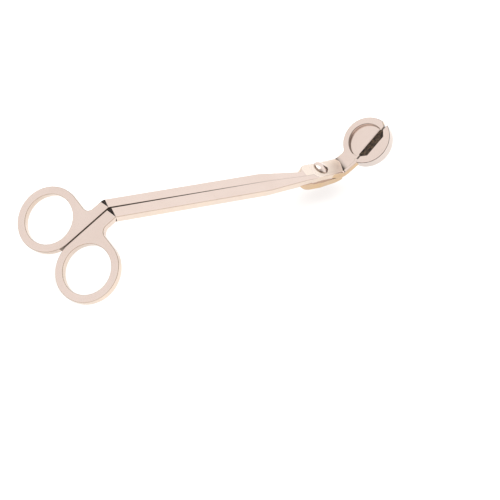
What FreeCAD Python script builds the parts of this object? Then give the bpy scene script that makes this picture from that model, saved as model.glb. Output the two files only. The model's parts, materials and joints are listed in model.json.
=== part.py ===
import FreeCAD, Part
import math
import os
from FreeCAD import Placement, Rotation, Vector

# Wick trimmer: two long flat levers that cross at a screw, each bent twice into a Z.
# All lengths are millimetres and all angles degrees.
#
# The shank frame is used for design: X runs along the straight shank towards the head,
# Y towards the blade lever's finger ring, Z is the normal of the shank's top face.
# X = 0 is the top of the crease where the finger rings bend down. At the end everything
# is tilted so that the ring ends and the bend under the head stand on Z = 0.

# Plate and bends
PLATE = 3.2                # thickness of both levers
RING_BEND = 57.4           # finger rings bend down from the shank
HEAD_BEND = 56.1           # head bends up from the shank
SHANK_LENGTH = 138.5       # ring crease to head crease, along the top face
TRAY_BEND_R = 13.6         # outside of the tray lever's head bend, which it rests on
NECK_BEND_R = 4.6          # outside of the blade lever's head bend
LAP_GAP = 0.05             # between the plates where one lies over the other

# Finger rings
RING_HOLE_R = 10.5
RING_OUTER_R = 13.85
RING_PITCH = 28.3          # between the two ring centres
RING_REACH = 22.2          # crease to ring centres
WEB_CORNER_R = 3.0         # inside corner between shank and ring

# Shank, seen from above
SEAM_AT_RINGS = 0.30       # half the gap between the levers at the rings
SEAM_CLOSED_X = 92.0       # where the gap has narrowed to a hairline
SEAM_HAIRLINE = 0.025      # half of that hairline
BLADE_SIDE_Y = 4.6         # outer edge of the blade lever
TRAY_SIDE_Y = -5.3         # outer edge of the tray lever
TAPER_X = 90.0             # both edges start to draw in
WAIST_X = 112.5            # narrowest place
WAIST_TOP_Y = 2.05
WAIST_SEAM_Y = -0.75
WAIST_LOW_Y = -3.55
CREASE_FACET = 1.2         # wide end of the small flat on the ring crease

# Pivot
PIVOT_X = 127.45
PIVOT_Y = 2.3
LAP_RADIUS = 7.5           # round shoulder where the levers pass each other
SHOULDER_START = 1.6       # the blade lever widens from here past the waist
SHOULDER_END = 5.0         # to here
SHOULDER_HOLLOW = 1.5
SHOULDER_ROUND = 3.0
SCREW_SHOULDER_R = 2.0
SCREW_THREAD_R = 1.6
SCREW_RUNNING_GAP = 0.05   # radial, between the shoulder and the blade lever
SCREW_HEAD_R = 3.3
SCREW_HEAD_EDGE = 0.35     # height of the head's straight side
SCREW_HEAD_DOME = 0.7      # height of the dome above it
NUT_R = 3.0
NUT_HEIGHT = 1.3
NUT_SLOT_WIDTH = 0.8
NUT_SLOT_DEPTH = 0.5

# Blade lever's pivot lobe
LOBE_TOP_Y = 5.2
LOBE_SWELL = 0.2           # its top edge rises by this at the pivot
LOBE_START_Y = -3.15       # its low edge, from the round shoulder
LOBE_LOW_X = 136.15        # through this corner
LOBE_LOW_Y = -2.1
LOBE_FOOT_Y = -2.0         # to the neck
LOBE_END_X = 141.4         # furthest point of the blade lever's lobe
LOBE_END_Y = 4.2
NOSE_START = 0.6           # the slanted nose starts this far past the neck's corner
NOSE_ROUND = 2.0
NOSE_BACK = 1.8            # from the furthest point back to the nose's upper corner
NOSE_RISE = 0.75           # that corner stands this far above the lobe's top edge
NOSE_CORNER = 0.8
NOSE_GAP = 0.15            # between the lobe's rounded nose and the tray lever's bend

# Tray lever's pivot lobe
CRANK_START_X = 111.5      # the tray lever starts to step down under the blade lever
CRANK_END_X = 116.0
CRANK_ROUND = 13.0         # rounding of the lower end of that step
SHANK_END_X = 123.45       # the tray lever's upper plate is drawn to here
SHANK_END_Y = -2.95
LOWER_OUTSET = 0.1         # the lower plate stands this far outside the waist
BELLY_X = 126.45
BELLY_Y = -3.4
HIP_X = 133.75
HIP_Y = -2.5
HIP_ROUND = 4.0
NECK_STEP_X = 140.0        # the lower plate has widened to the tray's neck
NECK_STEP_ROUND = 3.0
BACK_X = 123.95            # upper corner behind the pivot
BACK_ROUND = 3.0
FOOT_X = 120.95            # where the lower plate leaves the seam
FOOT_ROUND = 0.8

# Head, seen square on. U runs from the head crease along the head, Y as above.
TRAY_U = 16.2
TRAY_Y = 3.25
TRAY_R = 11.1
RECESS_U = 15.95
RECESS_Y = 3.7
RECESS_R = 7.9
RECESS_DEPTH = 1.7
TRAY_NECK_TOP_Y = 6.9
NECK_FILLET = 2.0          # where the neck runs into the tray's round rim
TIP_CUT_U = 9.7            # flat on the far end of the tray, from its centre
TIP_CUT_Y = 0.35
TIP_CUT_DEG = -26.0
BLADE_U = 16.25
BLADE_Y = 3.85
BLADE_R = 11.4
JAW_DEPTH = 5.6            # thickness of the blade jaw's round body
NECK_LOW_Y = -2.6
NECK_TOP_Y = -1.3
NECK_CLEARANCE = 0.75      # between that neck and the filled bend of the tray lever
NECK_ROOT = 3.0            # how far the neck reaches back under the lobe's nose
NECK_DRAW = 0.5            # and how much narrower it is there
NECK_END_U = 8.25
NECK_END_DROP = 0.3
HORN_U = 7.25              # small corner where the neck meets the jaw
HORN_RISE = 0.8
SLIT_DEG = 9.7             # the cutting line turns this far from the head's U axis
CUT_Y = 2.2                # cutting edge where U = SLIT_U
SLIT_U = 16.8
BODY_SETBACK = 2.4         # jaw body's straight side, behind the cutting edge
BEVEL_SETBACK = 4.7        # top of the bevel, behind the cutting edge
BEVEL_HALF = 5.4           # half length of the bevel's top line
EDGE_LAND = 0.2            # thickness left at the cutting edge
SHEAR_OVERLAP = 0.25       # cutting edge laps the tray's lip by this much
LIP_WIDTH = 0.8
TONGUE_ROOT = 1.0          # the tongue starts this far inside the jaw body
TONGUE_DRAW = 0.6          # and is this much narrower at its edge, each side
WEDGE_SPILL = 1.0          # how far the ground wedge runs past the cutting edge

PLENTY = 400.0             # larger than the whole tool
BEND_REACH = 40.0          # larger than the head end

RING_Y = RING_PITCH / 2
HEAD_TAN = math.tan(math.radians(HEAD_BEND / 2))
PIVOT = Vector(PIVOT_X, PIVOT_Y, 0)
RING_FRAME = Placement(Vector(0, 0, 0), Rotation(Vector(0, 1, 0), -RING_BEND))
HEAD_FRAME = Placement(Vector(SHANK_LENGTH, 0, 0), Rotation(Vector(0, 1, 0), -HEAD_BEND))
SLIT_FRAME = Placement(Vector(SLIT_U, CUT_Y, 0), Rotation(Vector(0, 0, 1), SLIT_DEG))


def rounded_wire(corners):
    """Closed wire through (x, y) corners; a third number rounds that corner."""
    count = len(corners)
    starts = []
    ends = []
    middles = []
    for index, corner in enumerate(corners):
        here = Vector(corner[0], corner[1], 0)
        radius = corner[2] if len(corner) > 2 else 0
        before = Vector(*corners[index - 1][:2], 0) - here
        after = Vector(*corners[(index + 1) % count][:2], 0) - here
        before.normalize()
        after.normalize()
        half_turn = before.getAngle(after) / 2
        reach = radius / math.tan(half_turn)
        inward = before + after
        if inward.Length > 0:
            inward.normalize()
        starts.append(here + before * reach)
        ends.append(here + after * reach)
        middles.append(here + inward * (radius / math.sin(half_turn) - radius))
    edges = []
    for index in range(count):
        if (ends[index] - starts[index]).Length > 1e-6:
            edges.append(Part.Arc(starts[index], middles[index], ends[index]).toShape())
        edges.append(Part.makeLine(ends[index], starts[(index + 1) % count]))
    return Part.Wire(edges)


def prism(corners, low, high):
    """Solid with the given plan, from height low to height high."""
    base = Part.Face(rounded_wire(corners))
    base.translate(Vector(0, 0, low))
    return base.extrude(Vector(0, 0, high - low))


def side_prism(corners, low_y, high_y):
    """Solid with the given (x, z) side view, from low_y to high_y."""
    solid = prism(corners, -high_y, -low_y)
    solid.rotate(Vector(0, 0, 0), Vector(1, 0, 0), 90)
    return solid


def disc(x, y, radius, low, high):
    return Part.makeCylinder(radius, high - low, Vector(x, y, low))


def placed(solid, frame):
    moved = solid.copy()
    moved.Placement = frame.multiply(moved.Placement)
    return moved


def side_of_crease(crease_x, bend, towards_head):
    """Everything on one side of the mitre plane of a bend."""
    start = 0 if towards_head else -PLENTY
    block = Part.makeBox(PLENTY, PLENTY, PLENTY, Vector(start, -PLENTY / 2, -PLENTY / 2))
    mitre = Placement(Vector(crease_x, 0, 0), Rotation(Vector(0, 1, 0), -bend / 2))
    return placed(block, mitre)


def above_line(y, low, high):
    """Everything past a line parallel to the cutting edge, y in front of it."""
    block = Part.makeBox(PLENTY, PLENTY, high - low, Vector(-PLENTY / 2, y, low))
    return placed(block, SLIT_FRAME)


def ring_plate(side):
    """Finger ring and web of one lever, in the ring frame; side is +1 or -1 in Y."""
    inner = RING_Y - RING_OUTER_R
    outer = BLADE_SIDE_Y if side > 0 else -TRAY_SIDE_Y
    web_x = RING_OUTER_R - RING_REACH
    corners = [
        (PLATE, side * inner),
        (-RING_REACH, side * inner),
        (-RING_REACH, side * RING_Y),
        (web_x, side * RING_Y),
        (web_x, side * outer, WEB_CORNER_R),
        (PLATE, side * outer),
    ]
    plate = prism(corners, -PLATE, 0)
    plate = plate.fuse(disc(-RING_REACH, side * RING_Y, RING_OUTER_R, -PLATE, 0))
    plate = plate.cut(disc(-RING_REACH, side * RING_Y, RING_HOLE_R, -PLATE, 0))
    return placed(plate, RING_FRAME).common(side_of_crease(0, RING_BEND, False))


def crease_facet(narrow_y, wide_y):
    """What the small flat on the ring crease takes off, from nothing to its full width."""
    bend = math.radians(RING_BEND)
    apex = Vector(0, narrow_y, 0)
    on_ring = Vector(-CREASE_FACET * math.cos(bend), wide_y, -CREASE_FACET * math.sin(bend))
    on_shank = Vector(CREASE_FACET, wide_y, 0)
    normal = (on_ring - apex).cross(on_shank - apex)
    if normal.z < 0:
        normal = normal * -1
    block = Part.makeBox(PLENTY, PLENTY, PLENTY, Vector(-PLENTY / 2, -PLENTY / 2, 0))
    return placed(block, Placement(apex, Rotation(Vector(0, 0, 1), normal)))


def blade_shank():
    """Straight part of the blade lever, seam side first, as far as the pivot."""
    corners = [
        (-PLATE, SEAM_AT_RINGS),
        (SEAM_CLOSED_X, SEAM_HAIRLINE),
        (WAIST_X, WAIST_SEAM_Y + SEAM_HAIRLINE),
        (PIVOT_X, WAIST_SEAM_Y + SEAM_HAIRLINE),
        (PIVOT_X, LOBE_TOP_Y + LOBE_SWELL),
        (WAIST_X + SHOULDER_END, LOBE_TOP_Y, SHOULDER_ROUND),
        (WAIST_X + SHOULDER_START, WAIST_TOP_Y, SHOULDER_HOLLOW),
        (WAIST_X, WAIST_TOP_Y),
        (TAPER_X, BLADE_SIDE_Y),
        (-PLATE, BLADE_SIDE_Y),
    ]
    return prism(corners, -PLATE, 0).common(side_of_crease(0, RING_BEND, True))


def corner_sliver(depth, radius):
    """Space between the sharp head bend of a face at this depth and its rounded form."""
    corner_x = SHANK_LENGTH + depth * HEAD_TAN
    bend = math.radians(HEAD_BEND)
    reach = BEND_REACH
    sharp = [
        (corner_x - reach, -depth),
        (corner_x, -depth),
        (corner_x + reach * math.cos(bend), reach * math.sin(bend) - depth),
    ]
    rounded = [sharp[0], (*sharp[1], radius), sharp[2]]
    return side_prism(sharp, -reach, reach).cut(side_prism(rounded, -reach, reach))


def nose_limit():
    """Round body about the pivot that stays clear of the inside of the tray lever's bend."""
    inside_r = TRAY_BEND_R - PLATE
    depth = PLATE + LAP_GAP
    centre_x = SHANK_LENGTH + (depth - inside_r) * HEAD_TAN - PIVOT_X
    centre_z = inside_r - depth
    nose_r = inside_r - NOSE_GAP
    lowest = Vector(centre_x, 0, centre_z - nose_r)
    end_x = centre_x + math.sqrt(nose_r ** 2 - centre_z ** 2)
    turn = math.asin((end_x - centre_x) / nose_r) / 2
    middle = Vector(centre_x + nose_r * math.sin(turn), 0, centre_z - nose_r * math.cos(turn))
    end = Vector(end_x, 0, 0)
    corners = [end, Vector(0, 0, 0), Vector(0, 0, -PLATE), Vector(centre_x, 0, -PLATE), lowest]
    edges = [Part.makeLine(a, b) for a, b in zip(corners, corners[1:])]
    edges.append(Part.Arc(lowest, middle, end).toShape())
    face = Part.Face(Part.Wire(edges))
    body = face.revolve(Vector(0, 0, 0), Vector(0, 0, 1), 360)
    body.translate(PIVOT)
    return body


def blade_lobe():
    """Flat lobe of the blade lever over the pivot, ending in a slanted round nose."""
    corners = [
        (PIVOT_X - LAP_RADIUS, LOBE_TOP_Y),
        (PIVOT_X - LAP_RADIUS, LOBE_START_Y),
        (LOBE_LOW_X, LOBE_LOW_Y),
        (SHANK_LENGTH, LOBE_FOOT_Y),
        (SHANK_LENGTH, NECK_TOP_Y),
        (SHANK_LENGTH + NOSE_START, NECK_TOP_Y + NOSE_START),
        (LOBE_END_X, LOBE_END_Y, NOSE_ROUND),
        (LOBE_END_X - NOSE_BACK, LOBE_TOP_Y + NOSE_RISE, NOSE_CORNER),
        (PIVOT_X, LOBE_TOP_Y + LOBE_SWELL),
    ]
    round_back = disc(PIVOT_X, PIVOT_Y, LAP_RADIUS, -PLATE, 0)
    front = Part.makeBox(PLENTY, PLENTY, PLENTY, Vector(PIVOT_X, -PLENTY / 2, -PLENTY / 2))
    return prism(corners, -PLATE, 0).common(nose_limit()).common(round_back.fuse(front))


def blade_neck():
    """Narrow neck of the blade lever, round the bend and up to the jaw."""
    flat = prism([
        (SHANK_LENGTH - NECK_ROOT, NECK_LOW_Y + NECK_DRAW),
        (SHANK_LENGTH + PLATE, NECK_LOW_Y),
        (SHANK_LENGTH + PLATE, NECK_TOP_Y),
        (SHANK_LENGTH - NECK_ROOT, NECK_TOP_Y),
    ], -PLATE, 0)
    raised = prism([
        (-PLATE, NECK_LOW_Y),
        (NECK_END_U, NECK_LOW_Y),
        (NECK_END_U, NECK_TOP_Y - NECK_END_DROP),
        (HORN_U, NECK_TOP_Y + HORN_RISE),
        (-PLATE, NECK_TOP_Y),
    ], -PLATE, 0)
    flat = flat.common(side_of_crease(SHANK_LENGTH, HEAD_BEND, False))
    raised = placed(raised, HEAD_FRAME)
    neck = flat.fuse(raised.common(side_of_crease(SHANK_LENGTH, HEAD_BEND, True)))
    return neck.cut(corner_sliver(PLATE, NECK_BEND_R))


def blade_jaw():
    """Half-round jaw: a full-depth body and a bevelled tongue that carries the edge."""
    body = disc(BLADE_U, BLADE_Y, BLADE_R, -JAW_DEPTH, 0)
    body = body.cut(above_line(-BODY_SETBACK, -JAW_DEPTH, 0))
    open_half = BEVEL_HALF + BEVEL_SETBACK - BODY_SETBACK
    tongue = placed(prism([
        (-open_half, -BODY_SETBACK - TONGUE_ROOT),
        (open_half, -BODY_SETBACK - TONGUE_ROOT),
        (open_half, -BODY_SETBACK),
        (open_half - TONGUE_DRAW, 0),
        (TONGUE_DRAW - open_half, 0),
        (-open_half, -BODY_SETBACK),
    ], -PLATE, 0), SLIT_FRAME)
    flare = BEVEL_HALF + BEVEL_SETBACK + WEDGE_SPILL
    bevel = side_prism([
        (-BEVEL_SETBACK, 0),
        (0, EDGE_LAND - PLATE),
        (WEDGE_SPILL, EDGE_LAND - PLATE),
        (WEDGE_SPILL, WEDGE_SPILL),
        (-BEVEL_SETBACK, WEDGE_SPILL),
    ], -flare, flare)
    bevel.rotate(Vector(0, 0, 0), Vector(0, 0, 1), 90)
    pocket = prism([
        (-BEVEL_HALF, -BEVEL_SETBACK),
        (BEVEL_HALF, -BEVEL_SETBACK),
        (flare, WEDGE_SPILL),
        (-flare, WEDGE_SPILL),
    ], -PLATE, WEDGE_SPILL)
    bevel = placed(bevel.common(pocket), SLIT_FRAME)
    return placed(body.fuse(tongue).cut(bevel), HEAD_FRAME)


def blade_lever():
    """Upper lever: finger ring, shank, pivot lobe, neck and blade jaw in one piece."""
    lever = ring_plate(1).fuse([blade_shank(), blade_lobe(), blade_neck(), blade_jaw()])
    lever = lever.cut(crease_facet(SEAM_AT_RINGS, BLADE_SIDE_Y))
    hole_r = SCREW_SHOULDER_R + SCREW_RUNNING_GAP
    lever = lever.cut(disc(PIVOT_X, PIVOT_Y, hole_r, -PLATE, 0))
    return lever.removeSplitter()


def tray_shank():
    """Straight part of the tray lever, cut round where the blade lever's lobe turns."""
    corners = [
        (-PLATE, -SEAM_AT_RINGS),
        (-PLATE, TRAY_SIDE_Y),
        (TAPER_X, TRAY_SIDE_Y),
        (WAIST_X, WAIST_LOW_Y),
        (SHANK_END_X, SHANK_END_Y),
        (SHANK_END_X, WAIST_SEAM_Y - SEAM_HAIRLINE),
        (WAIST_X, WAIST_SEAM_Y - SEAM_HAIRLINE),
        (SEAM_CLOSED_X, -SEAM_HAIRLINE),
    ]
    shank = prism(corners, -PLATE, 0).common(side_of_crease(0, RING_BEND, True))
    return shank.cut(disc(PIVOT_X, PIVOT_Y, LAP_RADIUS + LAP_GAP, -PLATE, 0))


def tray_lobe_plan():
    """Outline of the tray lever under the pivot, as a tall prism."""
    return prism([
        (CRANK_START_X, WAIST_LOW_Y - LOWER_OUTSET),
        (BELLY_X, BELLY_Y),
        (HIP_X, HIP_Y, HIP_ROUND),
        (SHANK_LENGTH + 2 * PLATE, NECK_TOP_Y),
        (SHANK_LENGTH + 2 * PLATE, TRAY_NECK_TOP_Y),
        (NECK_STEP_X, TRAY_NECK_TOP_Y, NECK_STEP_ROUND),
        (BACK_X, LOBE_TOP_Y, BACK_ROUND),
        (FOOT_X, WAIST_SEAM_Y - SEAM_HAIRLINE, FOOT_ROUND),
        (CRANK_START_X, WAIST_SEAM_Y - SEAM_HAIRLINE),
    ], -3 * PLATE, PLATE)


def tray_lobe():
    """Lower plate of the tray lever: the step down, the lobe and its side of the bend."""
    side = side_prism([
        (CRANK_START_X, -PLATE),
        (CRANK_END_X, -2 * PLATE, CRANK_ROUND),
        (SHANK_LENGTH + 2 * PLATE, -2 * PLATE),
        (SHANK_LENGTH + 2 * PLATE, -PLATE - LAP_GAP),
        (PIVOT_X - LAP_RADIUS, -PLATE - LAP_GAP),
        (PIVOT_X - LAP_RADIUS, -PLATE),
    ], -BEND_REACH, BEND_REACH)
    lobe = tray_lobe_plan().common(side)
    return lobe.common(side_of_crease(SHANK_LENGTH, HEAD_BEND, False))


def tray_bend():
    """Fills the inside of the tray lever's head bend to its full radius."""
    fill = corner_sliver(PLATE + LAP_GAP, TRAY_BEND_R - PLATE)
    low = Vector(0, NECK_TOP_Y + NECK_CLEARANCE, -PLENTY / 2)
    beside_neck = Part.makeBox(PLENTY, PLENTY, PLENTY, low)
    return fill.common(tray_lobe_plan()).common(beside_neck)


def tray_head():
    """Neck and half-round catch tray: a raised rim, a sunk floor and a shearing lip."""
    low = -2 * PLATE
    high = -PLATE - LAP_GAP
    neck = prism([
        (-2 * PLATE, -TRAY_R),
        (TRAY_U, -TRAY_R),
        (TRAY_U, TRAY_NECK_TOP_Y),
        (-2 * PLATE, TRAY_NECK_TOP_Y),
    ], low, high)
    fillet_y = TRAY_NECK_TOP_Y + NECK_FILLET
    across = math.sqrt((TRAY_R + NECK_FILLET) ** 2 - (fillet_y - TRAY_Y) ** 2)
    fillet_u = TRAY_U - across
    fillet = prism([(fillet_u, fillet_y), (TRAY_U, TRAY_Y), (fillet_u, TRAY_Y)], low, high)
    fillet = fillet.cut(disc(fillet_u, fillet_y, NECK_FILLET, low, high))
    head = neck.fuse([disc(TRAY_U, TRAY_Y, TRAY_R, low, high), fillet])
    head = head.common(above_line(-SHEAR_OVERLAP, low, high))
    tip = Vector(TRAY_U + TIP_CUT_U, TRAY_Y + TIP_CUT_Y, 0)
    corner = Placement(tip, Rotation(Vector(0, 0, 1), TIP_CUT_DEG))
    off_corner = Part.makeBox(PLENTY, PLENTY, PLATE, Vector(0, -PLENTY / 2, low))
    head = head.cut(placed(off_corner, corner))
    recess = disc(RECESS_U, RECESS_Y, RECESS_R, high - RECESS_DEPTH, high)
    recess = recess.common(above_line(LIP_WIDTH - SHEAR_OVERLAP, low, high))
    head = placed(head.cut(recess), HEAD_FRAME)
    return head.common(side_of_crease(SHANK_LENGTH, HEAD_BEND, True))


def tray_lever():
    """Lower lever: finger ring, shank, cranked pivot lobe, neck and catch tray."""
    lever = ring_plate(-1).fuse([tray_shank(), tray_lobe(), tray_bend(), tray_head()])
    lever = lever.cut(crease_facet(TRAY_SIDE_Y, -SEAM_AT_RINGS))
    lever = lever.cut(corner_sliver(2 * PLATE, TRAY_BEND_R))
    lever = lever.cut(disc(PIVOT_X, PIVOT_Y, SCREW_THREAD_R, -2 * PLATE, -PLATE))
    lever = lever.cut(disc(PIVOT_X, PIVOT_Y, NUT_R, -2 * PLATE, NUT_HEIGHT - 2 * PLATE))
    return lever.removeSplitter()


def pivot_screw():
    """Shoulder screw with a low domed head."""
    under_head = LAP_GAP
    rim = under_head + SCREW_HEAD_EDGE
    top = rim + SCREW_HEAD_DOME
    sphere_r = (SCREW_HEAD_R ** 2 + SCREW_HEAD_DOME ** 2) / (2 * SCREW_HEAD_DOME)
    cap = Part.makeSphere(sphere_r, PIVOT + Vector(0, 0, top - sphere_r))
    head = disc(PIVOT_X, PIVOT_Y, SCREW_HEAD_R, under_head, top).common(cap)
    shoulder = disc(PIVOT_X, PIVOT_Y, SCREW_SHOULDER_R, -PLATE - LAP_GAP, under_head)
    thread = disc(PIVOT_X, PIVOT_Y, SCREW_THREAD_R, -2 * PLATE, -PLATE - LAP_GAP)
    return head.fuse([shoulder, thread]).removeSplitter()


def pivot_nut():
    """Thin round nut that sits flush in the underside of the tray lever."""
    low = -2 * PLATE
    nut = disc(PIVOT_X, PIVOT_Y, NUT_R, low, low + NUT_HEIGHT)
    nut = nut.cut(disc(PIVOT_X, PIVOT_Y, SCREW_THREAD_R, low, low + NUT_HEIGHT))
    corner = Vector(PIVOT_X - NUT_R, PIVOT_Y - NUT_SLOT_WIDTH / 2, low)
    slot = Part.makeBox(2 * NUT_R, NUT_SLOT_WIDTH, NUT_SLOT_DEPTH, corner)
    return nut.cut(slot)


def resting_tilt():
    """Angle that brings the ring ends and the heel of the bend onto one plane."""
    ring_end = RING_FRAME.multVec(Vector(-RING_REACH - RING_OUTER_R, 0, -PLATE))
    heel_x = SHANK_LENGTH + (2 * PLATE - TRAY_BEND_R) * HEAD_TAN
    across = Vector(heel_x, 0, TRAY_BEND_R - 2 * PLATE) - ring_end
    climb = math.atan2(across.z, across.x)
    return math.degrees(climb - math.asin(TRAY_BEND_R / across.Length))


def standing_frame(solids):
    """Placement that tilts the tool and centres its footprint on the origin."""
    tilt = Placement(Vector(0, 0, 0), Rotation(Vector(0, 1, 0), resting_tilt()))
    box = Part.makeCompound([placed(solid, tilt) for solid in solids]).optimalBoundingBox()
    return Placement(Vector(-box.Center.x, -box.Center.y, -box.ZMin), tilt.Rotation)


def main():
    pieces = {
        "blade_lever": blade_lever(),
        "tray_lever": tray_lever(),
        "pivot_screw": pivot_screw(),
        "pivot_nut": pivot_nut(),
    }
    frame = standing_frame(list(pieces.values()))
    os.makedirs("parts", exist_ok=True)
    standing = {}
    for name, solid in pieces.items():
        standing[name] = placed(solid, frame)
        standing[name].exportStep("parts/" + name + ".step")
    return frame, standing


main()
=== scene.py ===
import json
import math

import bmesh
import bpy
from mathutils import Euler, Matrix, Vector
from mathutils.geometry import tessellate_polygon

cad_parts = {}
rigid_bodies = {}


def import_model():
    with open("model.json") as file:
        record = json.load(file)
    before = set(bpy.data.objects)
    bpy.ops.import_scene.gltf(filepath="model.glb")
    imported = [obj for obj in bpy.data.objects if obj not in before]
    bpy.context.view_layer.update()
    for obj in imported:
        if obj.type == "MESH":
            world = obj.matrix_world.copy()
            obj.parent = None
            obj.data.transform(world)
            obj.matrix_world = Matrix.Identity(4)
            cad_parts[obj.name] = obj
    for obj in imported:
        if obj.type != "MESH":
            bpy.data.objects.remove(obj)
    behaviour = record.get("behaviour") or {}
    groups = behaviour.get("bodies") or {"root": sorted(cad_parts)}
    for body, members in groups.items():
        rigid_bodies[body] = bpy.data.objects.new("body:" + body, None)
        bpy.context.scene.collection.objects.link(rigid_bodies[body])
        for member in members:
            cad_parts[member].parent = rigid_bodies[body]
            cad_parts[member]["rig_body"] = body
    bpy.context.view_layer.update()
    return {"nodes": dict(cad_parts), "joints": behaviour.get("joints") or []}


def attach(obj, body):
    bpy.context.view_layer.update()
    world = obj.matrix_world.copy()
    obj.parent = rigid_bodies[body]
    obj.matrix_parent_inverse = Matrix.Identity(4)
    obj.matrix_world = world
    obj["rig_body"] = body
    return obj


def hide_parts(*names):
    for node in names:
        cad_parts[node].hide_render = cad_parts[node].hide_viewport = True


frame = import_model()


# ---------------------------------------------------------------- camera
# Solved together with the tool's proportions: where the photograph's camera stood.
camera_data = bpy.data.cameras.new("camera")
camera_data.lens = 201.196
camera_data.sensor_width = 36.0
camera_data.clip_start = 0.05
camera_data.clip_end = 30.0
camera = bpy.data.objects.new("camera", camera_data)
camera.location = (-0.70321, -0.51380, 0.79363)
camera.rotation_euler = Euler([math.radians(a) for a in (44.2316, -18.9062, -36.7104)], "XYZ")
bpy.context.scene.collection.objects.link(camera)
bpy.context.scene.camera = camera
bpy.context.scene.view_settings.view_transform = "Standard"


# ---------------------------------------------------------------- materials
SATIN_FROM, SATIN_TO = 0.046, 0.060      # X from the waist to the pivot block, in metres
SATIN_ROUGHNESS = 0.20                   # what the block's softer polish adds
SCRATCH_DEPTH = 0.00002                  # metres


def link(tree, source, output, target, entry):
    tree.links.new(source.outputs[output], target.inputs[entry])


def satin_towards_head(tree, place, polish):
    """Adds roughness along X, from none at the waist to full on the pivot block."""
    axes = tree.nodes.new("ShaderNodeSeparateXYZ")
    link(tree, place, "Object", axes, "Vector")
    rise = tree.nodes.new("ShaderNodeMapRange")
    rise.interpolation_type = "SMOOTHSTEP"
    rise.inputs["From Min"].default_value = SATIN_FROM
    rise.inputs["From Max"].default_value = SATIN_TO
    rise.inputs["To Max"].default_value = SATIN_ROUGHNESS
    link(tree, axes, "X", rise, "Value")
    total = tree.nodes.new("ShaderNodeMath")
    total.operation = "ADD"
    link(tree, polish, 0, total, 0)
    link(tree, rise, 0, total, 1)
    return total


def plated_metal(name, colour, tint, rough, rough_spread, grain, strength,
                 cloud_scale=55.0, satin=False):
    """Polished metal: two clouded colours, uneven polish and fine scratches."""
    mat = bpy.data.materials.new(name)
    mat.use_nodes = True
    tree = mat.node_tree
    shader = tree.nodes["Principled BSDF"]
    shader.inputs["Metallic"].default_value = 1.0
    place = tree.nodes.new("ShaderNodeTexCoord")
    cloud = tree.nodes.new("ShaderNodeTexNoise")
    cloud.inputs["Scale"].default_value = cloud_scale
    cloud.inputs["Detail"].default_value = 3.0
    link(tree, place, "Object", cloud, "Vector")
    blend = tree.nodes.new("ShaderNodeValToRGB")
    blend.color_ramp.elements[0].position = 0.35
    blend.color_ramp.elements[0].color = (*colour, 1)
    blend.color_ramp.elements[1].position = 0.70
    blend.color_ramp.elements[1].color = (*tint, 1)
    link(tree, cloud, "Fac", blend, "Fac")
    link(tree, blend, "Color", shader, "Base Color")
    smear = tree.nodes.new("ShaderNodeTexNoise")
    smear.inputs["Scale"].default_value = 260.0
    smear.inputs["Detail"].default_value = 4.0
    link(tree, place, "Object", smear, "Vector")
    polish = tree.nodes.new("ShaderNodeMapRange")
    polish.inputs["From Min"].default_value = 0.3
    polish.inputs["From Max"].default_value = 0.7
    polish.inputs["To Min"].default_value = rough
    polish.inputs["To Max"].default_value = rough + rough_spread
    link(tree, smear, "Fac", polish, "Value")
    if satin:
        polish = satin_towards_head(tree, place, polish)
    link(tree, polish, 0, shader, "Roughness")
    stretch = tree.nodes.new("ShaderNodeMapping")
    stretch.inputs["Scale"].default_value = grain
    link(tree, place, "Object", stretch, "Vector")
    scratch = tree.nodes.new("ShaderNodeTexNoise")
    scratch.inputs["Scale"].default_value = 1.0
    scratch.inputs["Detail"].default_value = 5.0
    link(tree, stretch, "Vector", scratch, "Vector")
    bump = tree.nodes.new("ShaderNodeBump")
    bump.inputs["Strength"].default_value = strength
    bump.inputs["Distance"].default_value = SCRATCH_DEPTH
    link(tree, scratch, "Fac", bump, "Height")
    link(tree, bump, "Normal", shader, "Normal")
    return mat


ALONG = (300.0, 4000.0, 4000.0)          # scratches run along the tool
ACROSS = (4000.0, 300.0, 4000.0)         # or across it
FACE = plated_metal("plated_face", (0.80, 0.665, 0.60), (0.83, 0.70, 0.64),
                    0.12, 0.04, ALONG, 0.05)
# Paler copy of the plate colour with a softer polish towards the head: painted light on the pivot
# block.
LIT_LOBE = plated_metal("lobe_painted_light", (0.92, 0.81, 0.72), (0.95, 0.84, 0.75),
                    0.16, 0.04, ALONG, 0.05, satin=True)
# Side walls: a darker copy of the plate colour, painted shade.
SHADED_WALL = plated_metal("wall_painted_shade", (0.66, 0.55, 0.48), (0.70, 0.57, 0.46),
                    0.14, 0.08, ALONG, 0.12)
# Walls towards the head: darker and golden, painted shade and a painted golden reflection.
PAINTED_GOLD = plated_metal("painted_gold_reflection", (0.52, 0.37, 0.25), (0.62, 0.42, 0.23),
                    0.16, 0.08, ALONG, 0.12)
# The jaw's wall: a darker copy of the plate colour, painted shade.
SHADED_JAW = plated_metal("jaw_wall_painted_shade", (0.58, 0.50, 0.46), (0.62, 0.52, 0.46),
                   0.14, 0.08, ALONG, 0.10)
# Broken edges: a darker copy of the plate colour, painted shade along them.
SHADED_RIM = plated_metal("rim_painted_shade", (0.55, 0.43, 0.35), (0.64, 0.51, 0.42),
                   0.14, 0.06, ALONG, 0.08)
# Painted shade: dark brown on the seam's walls at the rings, along the tray lever's seam edges,
# round a pocket's rim and foot and at the foot of the screw head.
PAINTED_SHADE = plated_metal("painted_shade", (0.26, 0.20, 0.16), (0.34, 0.26, 0.21),
                      0.30, 0.15, ALONG, 0.3)
# Near black with brown streaks: painted shade and painted dark reflection on the cutting bevel,
# the tongue, the jaw's edges and the face the edge passes.
PAINTED_BLACK = plated_metal("painted_black", (0.006, 0.004, 0.003), (0.11, 0.07, 0.042),
                      0.22, 0.12, ACROSS, 0.4, cloud_scale=900.0)
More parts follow.
